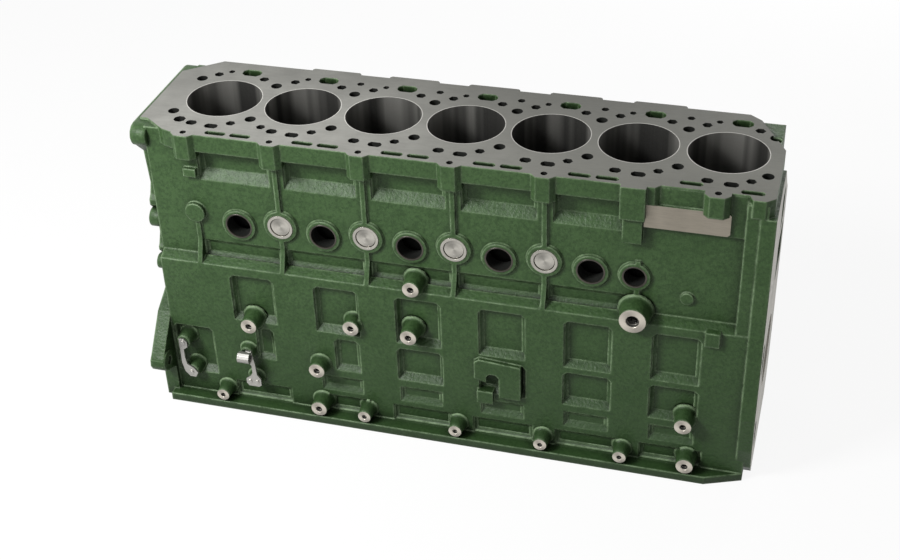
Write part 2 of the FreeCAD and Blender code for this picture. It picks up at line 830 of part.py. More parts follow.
def core_plug(x, face, far=False):
    """Pressed steel cup, open side out, seated on its shoulder."""
    r = core_plug_diameter / 2.0 - core_plug_fit
    z = core_plug_height
    mouth = -(face + core_plug_stand)
    cup = rod_y(x, mouth, mouth + core_plug_depth, z, r)
    hollow = rod_y(x, mouth - overcut, mouth + core_plug_depth - core_plug_floor, z,
                   r - core_plug_rim)
    cup = cup.cut(hollow)
    return to_far_side(cup) if far else cup


def main_cap(x0, x1):
    """Main bearing cap in its register, with the heads of its two bolts."""
    y = cap_half_width - cap_register_clearance
    c = cap_chamfer
    body = prism_x([(-y, crank_height), (-y, cap_bottom + c), (-y + c, cap_bottom),
                    (y - c, cap_bottom), (y, cap_bottom + c), (y, crank_height)], x0, x1)
    body = body.cut(rod_x(x0 - overcut, x1 + overcut, 0.0, crank_height, main_bore_diameter / 2.0))
    x = (x0 + x1) / 2.0
    heads = [bolt_head(x, side * cap_bolt_spacing / 2.0) for side in (-1.0, 1.0)]
    return body.fuse(heads)


def bolt_head(x, y):
    corners = circle_points(x, y, cap_bolt_head_across_flats / math.sqrt(3.0), 6)
    return prism_z(corners, cap_bottom - cap_bolt_head_height, cap_bottom + cap_chamfer / 2.0)


def gallery_plug(front):
    """Screwed plug with a hexagon socket."""
    r = gallery_plug_diameter / 2.0 - gallery_plug_fit
    half = gallery_plug_length / 2.0
    z = gallery_height
    x0 = -front_length if front else rear_length - gallery_plug_length
    mouth = -front_length - overcut if front else rear_length - half
    hexagon = circle_points(-gallery_offset, z, gallery_plug_socket / math.sqrt(3.0), 6)
    body = rod_x(x0, x0 + gallery_plug_length, -gallery_offset, z, r)
    return body.cut(prism_x(hexagon, mouth, mouth + half + overcut))


def rivet(x, z):
    face = -bracket_seat_face - bracket_thickness
    return stub_y(x, face - rivet_head_height, face + bracket_thickness / 2.0, z,
                  rivet_head_radius, small_round_sides)


def strap_bracket():
    """Narrow steel strap with a rounded foot at each end and a rivet in each foot."""
    y0 = -bracket_seat_face - bracket_thickness
    w = strap_width
    (tx, tz), (fx, fz) = strap_feet()
    outline = [(tx - 0.6 * w, tz + 0.6 * w), (tx + 0.2 * w, tz + 0.6 * w),
               (tx + 0.65 * w, tz + 0.15 * w), (tx + 0.65 * w, tz - 0.7 * w), (tx, tz - 1.2 * w),
               (tx, tz - 2.7 * w), (tx + 0.2 * w, tz - 3.9 * w), (fx + 0.5 * w, fz + 0.7 * w),
               (fx + w, fz), (fx + 0.6 * w, fz - 0.8 * w), (fx - 0.3 * w, fz - 0.8 * w),
               (fx - w, fz), (tx - 0.6 * w, tz - 3.7 * w)]
    stem = prism_y(outline, y0, -bracket_seat_face)
    return stem.fuse([rivet(tx, tz), rivet(fx, fz)])


def looped_bracket():
    """Steel bracket with a rolled eye at the top and a foot held by two rivets."""
    t = bracket_thickness
    y0 = -bracket_seat_face - t
    w = loop_width
    (lx, lz), (rx, rz), (ex, ez) = loop_feet()
    outline = [(ex, ez + 0.42 * w), (ex + 0.45 * w, ez + 0.42 * w), (rx, ez - 0.75 * w),
               (rx + 0.05 * w, rz + 0.65 * w), (rx + 0.32 * w, rz + 0.27 * w),
               (rx + 0.32 * w, rz - 0.27 * w), (rx + 0.12 * w, rz - 0.42 * w),
               (lx - 0.08 * w, lz - 0.42 * w), (lx - 0.27 * w, lz - 0.2 * w),
               (lx - 0.27 * w, lz + 0.2 * w), (lx + 0.12 * w, lz + 0.5 * w),
               (lx + 0.27 * w, lz + 0.8 * w), (lx + 0.27 * w, ez - 0.88 * w),
               (ex, ez - 0.42 * w)]
    arm = prism_y(outline, y0, -bracket_seat_face)
    eye_y = y0 - loop_eye_radius / 2.0
    x0 = ex - 0.5 * loop_eye_length
    x1 = ex + 0.5 * loop_eye_length
    eye = prism_x(circle_points(eye_y, ez, loop_eye_radius, round_sides), x0, x1)
    eye = eye.cut(prism_x(circle_points(eye_y, ez, loop_eye_radius - t, round_sides),
                          x0 - overcut, x1 + overcut))
    eye = eye.cut(box(x0 - overcut, x1 + overcut, y0 + t / 8.0, 0.0, ez - 2.0 * loop_eye_radius,
                      ez + 2.0 * loop_eye_radius))
    return arm.fuse([eye, rivet(lx, lz), rivet(rx, rz)])


def export(name, shapes):
    """Writes one node, moved so that the row's origin is at the middle of its length."""
    shape = shapes[0] if len(shapes) == 1 else Part.makeCompound(shapes)
    shape.translate(V((front_length - rear_length) / 2.0, 0, 0))
    shape.exportStep("parts/" + name + ".step")
    print(name, len(shape.Solids), "solids", round(shape.Volume / 1000.0, 1), "cm3", shape.isValid())


def main():
    os.makedirs("parts", exist_ok=True)
    export("cylinder_block", [cylinder_block()])
    near_face = upper_half_width + core_ring_reach
    export("core_plugs_near", [core_plug(x, near_face) for x in rib_x])
    export("core_plugs_far", [core_plug(x, upper_half_width, far=True) for x in bore_x[1::2]])
    for i, (x0, x1) in enumerate(cap_spans()):
        export("main_bearing_cap_%d" % (i + 1), [main_cap(x0, x1)])
    export("oil_gallery_plugs", [gallery_plug(True), gallery_plug(False)])
    export("strap_bracket", [strap_bracket()])
    export("looped_bracket", [looped_bracket()])


main()
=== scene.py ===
import math

import bpy
from mathutils import Matrix, Vector
from mathutils.bvhtree import BVHTree


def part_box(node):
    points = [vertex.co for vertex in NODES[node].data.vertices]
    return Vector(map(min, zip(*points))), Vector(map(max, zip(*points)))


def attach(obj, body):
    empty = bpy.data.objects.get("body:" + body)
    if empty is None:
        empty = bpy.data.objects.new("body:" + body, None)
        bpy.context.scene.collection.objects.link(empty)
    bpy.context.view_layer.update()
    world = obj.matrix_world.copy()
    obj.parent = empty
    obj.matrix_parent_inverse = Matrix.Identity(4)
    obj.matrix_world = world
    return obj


bl_info = {
    "name": "Engine block looks",
    "version": (1, 0, 0),
    "blender": (4, 5, 0),
    "location": "View3D > Sidebar > Engine block",
    "description": "Dresses the engine block in cast paint and machined metal on a pale floor",
    "category": "Object",
}

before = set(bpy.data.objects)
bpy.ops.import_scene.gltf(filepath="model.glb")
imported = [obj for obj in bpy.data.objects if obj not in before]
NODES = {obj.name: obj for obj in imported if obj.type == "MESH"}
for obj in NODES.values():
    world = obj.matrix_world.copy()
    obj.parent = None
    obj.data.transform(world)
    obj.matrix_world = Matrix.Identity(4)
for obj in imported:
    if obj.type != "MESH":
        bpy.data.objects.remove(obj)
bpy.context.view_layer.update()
BLOCK = NODES["cylinder_block"].data
BLOCK_LOW, BLOCK_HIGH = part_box("cylinder_block")
DECK = BLOCK_HIGH[2]
BLOCK_END = BLOCK_HIGH[0]
CYLINDERS = 7


# Settings

# Recess rows of the near wall, in metres: the floor's place along Y, the height under which the
# row lies, depth, how far the sloped lower wall reaches below the floor, and the corners' cut.
RECESS_ROWS = ((-0.129, 0.31, 0.013, 0.011, 0.007), (-0.133, 0.31, 0.009, 0.011, 0.007),
               (-0.135, 0.31, 0.007, 0.011, 0.0005), (-0.134, 0.06, 0.008, 0.002, 0.0005),
               (-0.115, 0.37, 0.007, 0.014, 0.0005), (-0.107, 0.56, 0.015, 0.018, 0.0005))
SMALLEST_RECESS = (0.03, 0.024)

# Bosses of the front flange's bolts, in metres: place across, height, radius and length.
FLANGE_BOSSES = ((0.098, 0.377, 0.0185, 0.024), (0.100, 0.280, 0.0150, 0.024),
                 (0.113, 0.559, 0.0205, 0.030), (0.178, 0.106, 0.0215, 0.030))

# Machined places of the casting, in metres: the cylinders' row, its middle's place along X and
# the height of its bores' feet, the crankshaft's line with its bearings and rear seal, the deepest
# drilling in the deck, the length of the flanges at each end, and how far the faces of core hole
# rings, pad and bracket lugs lie from the middle.
BORE_PITCH = 0.150
BORE_RADIUS = 0.0675
ROW_MIDDLE = 0.016
BORE_FOOT = 0.280
CRANK_HEIGHT = 0.190
BEARING_RADIUS = 0.054
SEAL_RADIUS = 0.066
HOLE_DEPTH = 0.0905
END_ZONE = 0.030
RING_FACE = 0.127
PAD_FACE = 0.134
LUG_FACE = 0.158

# A face looks along an axis when its normal reaches FACING there, and lies at a level when its
# middle is within LEVEL_SLACK of it.
FACING = 0.99
LEVEL_SLACK = 0.0003

# Bounds of the casting's regions, in metres: heights between which the pad lies, and half width
# and roof of the timing space in the end zones, of the crankcase and of the water space.
PAD_HEIGHTS = (0.50, 0.55)
TIMING_HALF_WIDTH = 0.0965
TIMING_ROOF = 0.19
CRANKCASE_HALF_WIDTH = 0.1185
CRANKCASE_ROOF = 0.3005
WATER_HALF_WIDTH = 0.0985
WATER_ROOF = DECK - 0.02

# Height of the sump rail, distances from the middle that boss faces, holes in bosses and core
# holes pass, and the least width of a painted opening in the deck.
RAIL_TOP = 0.02
BOSS_REACH = 0.1535
BOSS_HOLE_REACH = 0.13
CORE_HOLE_REACH = 0.09
WIDE_OPENING = 0.030

# How far corners of a bore's wall may lie from its radius, and from its foot.
BORE_SLACK = 0.0015
CRANK_SLACK = 0.0012
FOOT_SLACK = 0.01

# Radii between which a hole in the near wall is a core hole, and the largest that sets its ring.
CORE_HOLE_RADII = (0.015, 0.025)
RING_INNER_LIMIT = 0.023

# How far thin pieces on the casting reach into it and stand proud of it.
SUNK = 0.0030
PROUD = 0.0005

# Lamps: name, place, the point it is turned to, size, and the setting that holds its power.
LAMPS = (("Key lamp", (-1.45, -1.6, 2.05), (-0.15, 0.0, 0.45), (0.8, 0.6), "key_power"),
         ("Fill lamp", (-0.6, -2.8, 1.6), (-0.1, 0.0, 0.35), (1.4, 1.0), "fill_power"),
         ("Back lamp", (-1.5, 2.2, 2.1), (-0.1, 0.0, 0.5), (1.6, 1.0), "rim_power"),
         ("Far lamp", (0.7, 2.9, 0.85), (0.0, 0.0, 0.3), (1.6, 0.8), "far_power"))

SHARP_ANGLE = math.radians(38.0)
ROUND_SAMPLES = 6
FLOOR_HALF = 14.0
SENSOR_WIDTH = 36.0
VIEW_DEPTH = 60.0

WHITE = (1.0, 1.0, 1.0, 1.0)
FLOOR_SEEN = (0.98, 0.98, 0.98, 1.0)
BLACK_IRON = (0.05, 0.05, 0.045, 1.0)
BORE_SHADOW = (0.015, 0.015, 0.015, 1.0)
# Painted highlight of the chamfer round the edge of each bore.
CHAMFER_HIGHLIGHT = (0.52, 0.51, 0.475, 1.0)

COLOUR = {"subtype": "COLOR", "size": 4, "min": 0.0, "max": 1.0}
SHARE = {"subtype": "FACTOR", "min": 0.0, "max": 1.0}


class BlockSizes(bpy.types.PropertyGroup):
    """Sizes of the small cast and machined pieces on the block."""
    ring_width: bpy.props.FloatProperty(
        name="Ring width", description="Width of the ring round a core hole", default=0.008,
        unit="LENGTH")
    rim_width: bpy.props.FloatProperty(
        name="Rim width", description="Width of the bare chamfer round each open core hole",
        default=0.0024, unit="LENGTH")
    boss_growth: bpy.props.FloatProperty(
        name="Boss growth", description="How far the cast skin stands out round a boss",
        default=0.0016, unit="LENGTH")
    fillet: bpy.props.FloatProperty(
        name="Fillet", description="Cast fillet where a boss or ring meets the wall",
        default=0.0060, unit="LENGTH")
    draft: bpy.props.FloatProperty(
        name="Draft", description="Width of the sloped foot of each recess's walls", default=0.0085,
        unit="LENGTH")
    thread_pitch: bpy.props.FloatProperty(
        name="Thread pitch", description="Pitch of the threads in the bosses", default=0.0018,
        unit="LENGTH")
    thread_depth: bpy.props.FloatProperty(
        name="Thread length", description="Length of thread that is shown in each boss",
        default=0.012, unit="LENGTH")


class PaintLook(bpy.types.PropertyGroup):
    """Green enamel sprayed over rough cast iron."""
    green: bpy.props.FloatVectorProperty(
        name="Green", description="Colour of the enamel", default=(0.046, 0.094, 0.031, 1.0),
        **COLOUR)
    # The deep green below serves the enamel's darker blotches and the painted shade low on the
    # walls; a darker share of it is the painted shade in hollows.
    deep_green_and_shade: bpy.props.FloatVectorProperty(
        name="Deep green", description="Colour of the enamel in hollows",
        default=(0.018, 0.044, 0.012, 1.0), **COLOUR)
    # The edge colour below is partly thin, worn enamel, partly a painted highlight.
    worn_and_highlit_green: bpy.props.FloatVectorProperty(
        name="Worn and highlit green", description="Colour of thin enamel along edges",
        default=(0.210, 0.300, 0.170, 1.0), **COLOUR)
    edge_round: bpy.props.FloatProperty(
        name="Edge rounding", description="Radius by which cast edges look rounded", default=0.0045,
        unit="LENGTH")
    grain: bpy.props.FloatProperty(
        name="Grain", description="Size of the sand grain under the enamel", default=0.0050,
        unit="LENGTH")
    relief: bpy.props.FloatProperty(
        name="Relief", description="Height of the sand grain under the enamel", default=0.0030,
        unit="LENGTH")
    gloss: bpy.props.FloatProperty(
        name="Roughness", description="Roughness of the enamel", default=0.41, **SHARE)
    shine: bpy.props.FloatProperty(
        name="Shine", description="Strength of the enamel's reflection", default=0.27, **SHARE)


class MetalLook(bpy.types.PropertyGroup):
    """Bare machined iron and steel."""
    # The front deck tone carries a painted reflection that fades towards the flywheel end.
    deck_reflection_front: bpy.props.FloatVectorProperty(
        name="Deck, front", description="Tone of the deck towards the front end",
        default=(0.255, 0.253, 0.23, 1.0), **COLOUR)
    deck_dark: bpy.props.FloatVectorProperty(
        name="Deck, rear", description="Tone of the deck towards the flywheel end",
        default=(0.15, 0.15, 0.13, 1.0), **COLOUR)
    machined: bpy.props.FloatVectorProperty(
        name="Machined faces", description="Tone of end faces, sump face, bearings and caps",
        default=(0.42, 0.40, 0.35, 1.0), **COLOUR)
    honed: bpy.props.FloatVectorProperty(
        name="Honed bore", description="Tone of the cylinder walls",
        default=(0.34, 0.335, 0.31, 1.0), **COLOUR)
    boss: bpy.props.FloatVectorProperty(
        name="Boss faces", description="Tone of the spot-faced bosses",
        default=(0.64, 0.59, 0.51, 1.0), **COLOUR)
    pad: bpy.props.FloatVectorProperty(
        name="Pad", description="Tone of the machined pad below the deck",
        default=(0.30, 0.27, 0.22, 1.0), **COLOUR)
    raw: bpy.props.FloatVectorProperty(
        name="Raw casting", description="Tone of unpainted cast iron inside",
        default=(0.016, 0.017, 0.015, 1.0), **COLOUR)
    plug: bpy.props.FloatVectorProperty(
        name="Plug steel", description="Tone of the pressed steel plugs",
        default=(0.50, 0.48, 0.43, 1.0), **COLOUR)
    bracket: bpy.props.FloatVectorProperty(
        name="Bracket steel", description="Tone of the steel brackets",
        default=(0.50, 0.49, 0.46, 1.0), **COLOUR)


class StageLook(bpy.types.PropertyGroup):
    """Camera, lamps and floor."""
    camera_place: bpy.props.FloatVectorProperty(
        name="Camera", description="Where the camera stands", subtype="XYZ", unit="LENGTH", size=3,
        default=(0.6415, -2.1945, 1.8365))
    azimuth: bpy.props.FloatProperty(
        name="Azimuth", description="Direction of view, turned from +Y",
        default=math.radians(-16.87), subtype="ANGLE")
    elevation: bpy.props.FloatProperty(
        name="Elevation", description="How far the camera looks down", default=math.radians(34.67),
        subtype="ANGLE")
    roll: bpy.props.FloatProperty(
        name="Roll", description="Tilt of the camera", default=math.radians(-2.16), subtype="ANGLE")
    lens: bpy.props.FloatProperty(
        name="Lens", description="Focal length in millimetres", default=60.0)
    key_power: bpy.props.FloatProperty(
        name="Key lamp", description="Power of the lamp high above the front end", default=80.0,
        unit="POWER")
    fill_power: bpy.props.FloatProperty(
        name="Fill lamp", description="Power of the lamp beside the camera", default=13.0,
        unit="POWER")
    rim_power: bpy.props.FloatProperty(
        name="Back lamp", description="Power of the lamp behind the block", default=7.0,
        unit="POWER")
    far_power: bpy.props.FloatProperty(
        name="Far lamp", description="Power of the low lamp beside the far wall", default=20.0,
        unit="POWER")
    sky: bpy.props.FloatProperty(
        name="Room light", description="Strength of the room's even light", default=0.22)
    floor_white: bpy.props.FloatProperty(
        name="Floor white", description="Share of the floor that stays white in shadow",
        default=0.90, **SHARE)
    floor_tone: bpy.props.FloatProperty(
        name="Floor tone", description="How much light the floor throws back at the block",
        default=0.28, **SHARE)


# Node building

class Graph:
    """A node tree, with short ways of adding nodes to it."""

    def __init__(self, tree):
        self.tree = tree
        tree.nodes.clear()

    def put(self, socket, value):
        """Gives an input a fixed value, or another socket's."""
        if hasattr(value, "is_linked"):
            self.tree.links.new(value, socket)
        else:
            socket.default_value = value

    def feed(self, target, **values):
        """Fills inputs of a node by their names, with _ for a space."""
        for key, value in values.items():
            self.put(target.inputs[key.replace("_", " ")], value)

    def node(self, kind, **values):
        """A new node. Values name its properties, or its inputs where it has no such property."""
        made = self.tree.nodes.new(kind)
        for key, value in values.items():
            if hasattr(made, key):
                setattr(made, key, value)
            else:
                self.feed(made, **{key: value})
        return made

    def maths(self, operation, a, b=0.0, clamp=False):
        made = self.node("ShaderNodeMath", operation=operation, use_clamp=clamp)
        self.put(made.inputs[0], a)
        self.put(made.inputs[1], b)
        return made.outputs[0]

    def times(self, a, b):
        return self.maths("MULTIPLY", a, b)

    def plus(self, a, b):
        return self.maths("ADD", a, b)

    def ranged(self, value, low, high, to_low=0.0, to_high=1.0):
        made = self.node("ShaderNodeMapRange", Value=value, From_Min=low, From_Max=high,
                         To_Min=to_low, To_Max=to_high)
        return made.outputs["Result"]

    def blend(self, factor, a, b):
        made = self.node("ShaderNodeMix", data_type="RGBA")
        for index, value in ((0, factor), (6, a), (7, b)):
            self.put(made.inputs[index], value)
        return made.outputs[2]

    def place(self):
        """Place in the piece's own space."""
        return self.node("ShaderNodeTexCoord").outputs["Object"]

    def split(self, vector):
        return self.node("ShaderNodeSeparateXYZ", Vector=vector).outputs[:]

    def joined(self, x, y=0.0, z=0.0):
        return self.node("ShaderNodeCombineXYZ", X=x, Y=y, Z=z).outputs[0]

    def noise(self, vector, scale, detail, roughness):
        made = self.node("ShaderNodeTexNoise", Vector=vector, Scale=scale, Detail=detail,
                         Roughness=roughness)
        return made.outputs["Fac"]

    def rounded(self, radius):
        """Normal of the surface with its edges rounded."""
        return self.node("ShaderNodeBevel", samples=ROUND_SAMPLES, Radius=radius).outputs["Normal"]

    def shared(self, name, **values):
        """Outputs of a shared effect whose inputs have these values."""
        made = self.node("ShaderNodeGroup", node_tree=bpy.data.node_groups[name], **values)
        return made.outputs

    def bump(self, shader, height, distance, strength, round_radius=0.0):
        made = self.node("ShaderNodeBump", Height=height, Distance=distance, Strength=strength)
        if round_radius:
            self.feed(made, Normal=self.rounded(round_radius))
        self.feed(shader, Normal=made.outputs["Normal"])


def new_material(name):
    """A new material, its graph and its Principled BSDF."""
    material = bpy.data.materials.new(name)
    material.use_nodes = True
    g = Graph(material.node_tree)
    shader = g.node("ShaderNodeBsdfPrincipled")
    g.node("ShaderNodeOutputMaterial", Surface=shader.outputs["BSDF"])
    return material, g, shader


def new_group(name, inputs, outputs):
    """A node group with float inputs and outputs: its graph, its inputs and its end node."""
    tree = bpy.data.node_groups.new(name, "ShaderNodeTree")
    for label, default in inputs:
        socket = tree.interface.new_socket(label, in_out="INPUT", socket_type="NodeSocketFloat")
        socket.default_value = default
    for label in outputs:
        tree.interface.new_socket(label, in_out="OUTPUT", socket_type="NodeSocketFloat")
    g = Graph(tree)
    return g, g.node("NodeGroupInput").outputs, g.node("NodeGroupOutput")


def dimmed(tone, share):
    """A darker shade of a tone."""
    return tuple(share * c for c in tone[:3]) + (1.0,)


# Shared effects

def cast_grain_group():
    """Sand-cast skin: fine grain, broad unevenness and the blotches that follow them."""
    g, start, end = new_group("Cast grain", [("Grain size", 0.004), ("Unevenness", 0.4)],
                              ["Height", "Blotch", "Speck"])
    place = g.place()
    scale = g.maths("DIVIDE", 1.0, start["Grain size"])
    fine = g.noise(place, scale, 2.0, 0.6)
    broad = g.noise(place, g.times(scale, 0.16), 3.0, 0.5)
    wave = g.noise(place, g.times(scale, 0.045), 2.0, 0.5)
    pits = g.noise(place, g.times(scale, 0.8), 3.0, 0.7)
    height = g.plus(g.times(fine, 0.35), g.times(broad, start["Unevenness"]))
    g.feed(end, Height=g.plus(height, g.times(wave, 0.6)),
           Blotch=g.ranged(g.plus(broad, wave), 0.75, 1.25),
           Speck=g.ranged(pits, 0.36, 0.60))


def edge_wear_and_highlight_group():
    """Mask of the places where a rounded edge turns away from the flat face beside it, where edges
    take a lighter colour for worn enamel and a painted highlight.
    """
    g, start, end = new_group("Edge wear", [("Breakup", 40.0), ("Width", 0.5)], ["Wear"])
    dot = g.node("ShaderNodeVectorMath", operation="DOT_PRODUCT")
    g.put(dot.inputs[0], g.rounded(0.0055))
    g.put(dot.inputs[1], g.node("ShaderNodeNewGeometry").outputs["Normal"])
    turn = g.ranged(dot.outputs["Value"], 1.0, 0.82)
    cut = g.ranged(g.noise(g.place(), start["Breakup"], 4.0, 0.7), 0.30, 0.60)
    g.feed(end, Wear=g.maths("MULTIPLY", g.times(turn, cut), start["Width"], True))


def hollow_group():
    """Mask of hollows and inner corners, for the painted shade where light dies away."""
    g, start, end = new_group("Hollow shade", [("Reach", 0.03)], ["Open"])
    shade = g.node("ShaderNodeAmbientOcclusion", samples=4, Distance=start["Reach"])
    g.feed(end, Open=g.ranged(shade.outputs["AO"], 0.30, 0.92))


def turned_group():
    """Rings of a turned or spot-faced surface round the piece's own Y axis, and a painted sheen in
    sectors round it.
    """
    g, start, end = new_group("Turned rings", [("Spacing", 0.0008)], ["Height", "Sweep"])
    x, _, z = g.split(g.place())
    radius = g.maths("SQRT", g.plus(g.times(x, x), g.times(z, z)))
    steps = g.joined(g.maths("DIVIDE", radius, start["Spacing"]))
    sheen_fan = g.maths("SINE", g.plus(g.times(g.maths("ARCTAN2", z, x), 2.0), 0.6))
    g.feed(end, Height=g.noise(steps, 1.0, 1.0, 0.5), Sweep=g.ranged(sheen_fan, -1.0, 1.0))


def machining_group():
    """Fine parallel cutter marks with slow tone changes, as a face mill leaves them."""
    g, start, end = new_group("Machining marks", [("Spacing", 0.0012), ("Stretch", 30.0)],
                              ["Height", "Tone"])
    place = g.place()
    x, y, z = g.split(place)
    drawn_out = g.joined(g.maths("DIVIDE", x, start["Stretch"]), y, z)
    marks = g.noise(drawn_out, g.maths("DIVIDE", 1.0, start["Spacing"]), 2.0, 0.6)
    cloud = g.noise(place, 14.0, 4.0, 0.6)
    tone = g.plus(g.times(marks, 0.4), g.times(cloud, 0.6))
    g.feed(end, Height=marks, Tone=g.ranged(tone, 0.3, 0.7))


# Materials

def green_paint(look):
    """Enamel over rough cast iron: mottled, with painted shade in hollows, low on the walls and
    towards the rear, and lighter edges that are partly worn enamel, partly a painted highlight.
    """
    material, g, shader = new_material("Green cast paint")
    grain = g.shared("Cast grain", Grain_size=look.grain, Unevenness=0.55)
    wear_and_highlight = g.shared("Edge wear", Breakup=45.0, Width=1.0)
    hollow = g.shared("Hollow shade", Reach=0.028)
    mottle = g.ranged(grain["Blotch"], 0.0, 1.0, 0.55, 0.85)
    speck = g.ranged(grain["Speck"], 0.0, 1.0, 0.42, 1.5)
    x, _, z = g.split(g.node("ShaderNodeNewGeometry").outputs["Position"])
    # Painted shade: the enamel turns darker towards the bottom and towards the rear end.
    painted_shade_low = g.times(g.ranged(z, 0.04, 0.38, 0.42, 1.0), g.ranged(x, 0.0, 0.5, 1.0, 0.8))
    body = g.blend(g.times(mottle, g.times(speck, painted_shade_low)), look.deep_green_and_shade, look.green)
    # Painted shade in hollows and inner corners: a very dark green where the mask is closed.
    hollow_shaded = g.blend(hollow["Open"], dimmed(look.deep_green_and_shade, 0.25), body)
    # Lighter edges: partly worn enamel, partly a painted highlight.
    g.feed(shader, Base_Color=g.blend(wear_and_highlight["Wear"], hollow_shaded, look.worn_and_highlit_green),
           Roughness=g.ranged(grain["Blotch"], 0.0, 1.0, look.gloss + 0.10, look.gloss),
           Specular_IOR_Level=look.shine)
    g.bump(shader, grain["Height"], look.relief, 1.0, look.edge_round)
    return material


def machined_iron(made, tone, darker, rough=0.34, spacing=0.0012):
    """Cut iron in a new material. The tone is a colour, or a socket of that material."""
    material, g, shader = made
    marks = g.shared("Machining marks", Spacing=spacing, Stretch=24.0)
    dark = g.blend(1.0 - darker, BLACK_IRON, tone)
    g.feed(shader, Base_Color=g.blend(marks["Tone"], dark, tone), Metallic=0.85,
           Roughness=g.ranged(marks["Tone"], 0.0, 1.0, rough + 0.10, rough))
    g.bump(shader, marks["Height"], 0.0002, 0.35)
    return material


def milled_deck(metal):
    """Deck iron with a painted reflection, light at the front end and darker towards the rear,
    painted shade towards the far side, and a painted highlight round each bore.
    """
    made = new_material("Milled deck")
    g = made[1]
    row_half = 0.5 * CYLINDERS * BORE_PITCH
    x, y, _ = g.split(g.place())
    # Painted reflection: lighter towards the front end, darker towards the rear, with painted shade
    # towards the far side.
    along = g.blend(g.ranged(x, -0.25, 0.45), metal.deck_reflection_front, metal.deck_dark)
    base = g.blend(g.ranged(y, -0.06, 0.16, 0.0, 0.75), along, dimmed(metal.deck_dark, 0.62))
    # Distance from the nearest bore's centre line, counted from far ahead of the row
    near = g.maths("PINGPONG", g.plus(x, 20.0 * BORE_PITCH - ROW_MIDDLE), BORE_PITCH)
    near = g.maths("MINIMUM", near, g.maths("SUBTRACT", BORE_PITCH, near))
    reach = g.maths("SQRT", g.plus(g.times(near, near), g.times(y, y)))
    # Painted highlight on the chamfer just outside each bore's edge, only within the row.
    edge = g.ranged(reach, BORE_RADIUS + 0.0018, BORE_RADIUS + 0.0008)
    off = g.maths("ABSOLUTE", g.maths("SUBTRACT", x, ROW_MIDDLE))
    inside = g.ranged(off, row_half, row_half - 0.001)
    return machined_iron(made, g.blend(g.times(edge, inside), base, CHAMFER_HIGHLIGHT), 0.35)


def honed_bore(metal):
    """Cylinder wall with cross-hatched honing, upright stripes of painted reflection, and painted
    shade towards the crankcase.
    """
    material, g, shader = new_material("Honed cylinder wall")
    place = g.place()
    x, y, z = g.split(place)
    flat = g.joined(x, y)
    # Painted shade: the wall darkens down the bore towards the crankcase.
    depth = g.ranged(z, DECK - 0.13, DECK, 0.08, 1.0)
    # Upright stripes of painted reflection round the wall, with fine honing marks.
    reflection_streak = g.noise(flat, 22.0, 2.0, 0.5)
    fine = g.noise(flat, 240.0, 2.0, 0.6)
    rings = g.noise(place, 420.0, 1.0, 0.4)
    hatch = g.noise(place, 700.0, 1.0, 0.5)
    honing_and_reflections = g.plus(g.ranged(reflection_streak, 0.44, 0.60), g.times(g.plus(fine, rings), 0.15))
    tone = g.times(depth, g.ranged(honing_and_reflections, 0.0, 1.3, 0.10, 1.0))
    g.feed(shader, Base_Color=g.blend(tone, BORE_SHADOW, metal.honed), Metallic=0.7,
           Roughness=g.ranged(honing_and_reflections, 0.0, 1.3, 0.34, 0.42))
    g.bump(shader, hatch, 0.0001, 0.3)
    return material


def raw_iron(metal):
    """Unpainted casting inside the block."""
    material, g, shader = new_material("Raw cast iron")
    grain = g.shared("Cast grain", Grain_size=0.004, Unevenness=0.5)
    g.feed(shader, Base_Color=g.blend(grain["Blotch"], dimmed(metal.raw, 0.45), metal.raw),
           Roughness=0.75, Specular_IOR_Level=0.15)
    g.bump(shader, grain["Height"], 0.0012, 0.8)
    return material


def steel(name, tone, rough):
    """Strap or pressed steel with rounded edges."""
    material, g, shader = new_material(name)
    marks = g.shared("Machining marks", Spacing=0.0009, Stretch=4.0)
    g.feed(shader, Base_Color=g.blend(marks["Tone"], dimmed(tone, 0.6), tone), Metallic=0.9,
           Roughness=g.ranged(marks["Tone"], 0.0, 1.0, rough + 0.12, rough))
    g.bump(shader, marks["Height"], 0.0002, 0.4, 0.0008)
    return material


def turned_steel(name, tone, rough):
    """Metal turned or pressed round the piece's own Y axis, with a painted sheen in bright and dark
    sectors round it.
    """
    material, g, shader = new_material(name)
    rings = g.shared("Turned rings", Spacing=0.0009)
    # Painted sheen in sectors round the axis, mixed with the turning rings.
    share = g.plus(g.times(rings["Sweep"], 0.65), g.times(rings["Height"], 0.5))
    g.feed(shader, Base_Color=g.blend(share, dimmed(tone, 0.38), tone), Metallic=0.6,
           Roughness=g.ranged(rings["Height"], 0.0, 1.0, rough + 0.1, rough))
    g.bump(shader, rings["Height"], 0.0003, 0.6)
    return material


def threaded_iron(metal):
    """Inside of a tapped hole: dark oily iron with the thread's rings along Y."""
    material, g, shader = new_material("Tapped hole")
    fine_pitch = 0.0015
    along = g.split(g.place())[1]
    turns = g.maths("SINE", g.times(along, 2.0 * math.pi / fine_pitch))
    thread = g.ranged(turns, -1.0, 1.0)
    g.feed(shader, Base_Color=g.blend(thread, metal.raw, dimmed(metal.machined, 0.5)),
           Metallic=0.7, Roughness=g.ranged(thread, 0.0, 1.0, 0.5, 0.35))
    g.bump(shader, thread, 0.0006, 1.0)
    return material


# Telling machined places from cast ones

def corner_keys(mesh, polygon):
    """Corners of a polygon, rounded so that they match where polygons meet."""
    return [tuple(round(v, 5) for v in mesh.vertices[i].co) for i in polygon.vertices]


def groups(chains):
    """Corners that hang together through chains of corners, one list for each group."""
    owner = {}

    def root(key):
        while owner[key] != key:
            key = owner[key]
        return key

    for chain in chains:
        for key in chain:
            owner.setdefault(key, key)
            owner[root(key)] = root(chain[0])
    found = {}
    for key in owner:
        found.setdefault(root(key), []).append(key)
    return list(found.values())


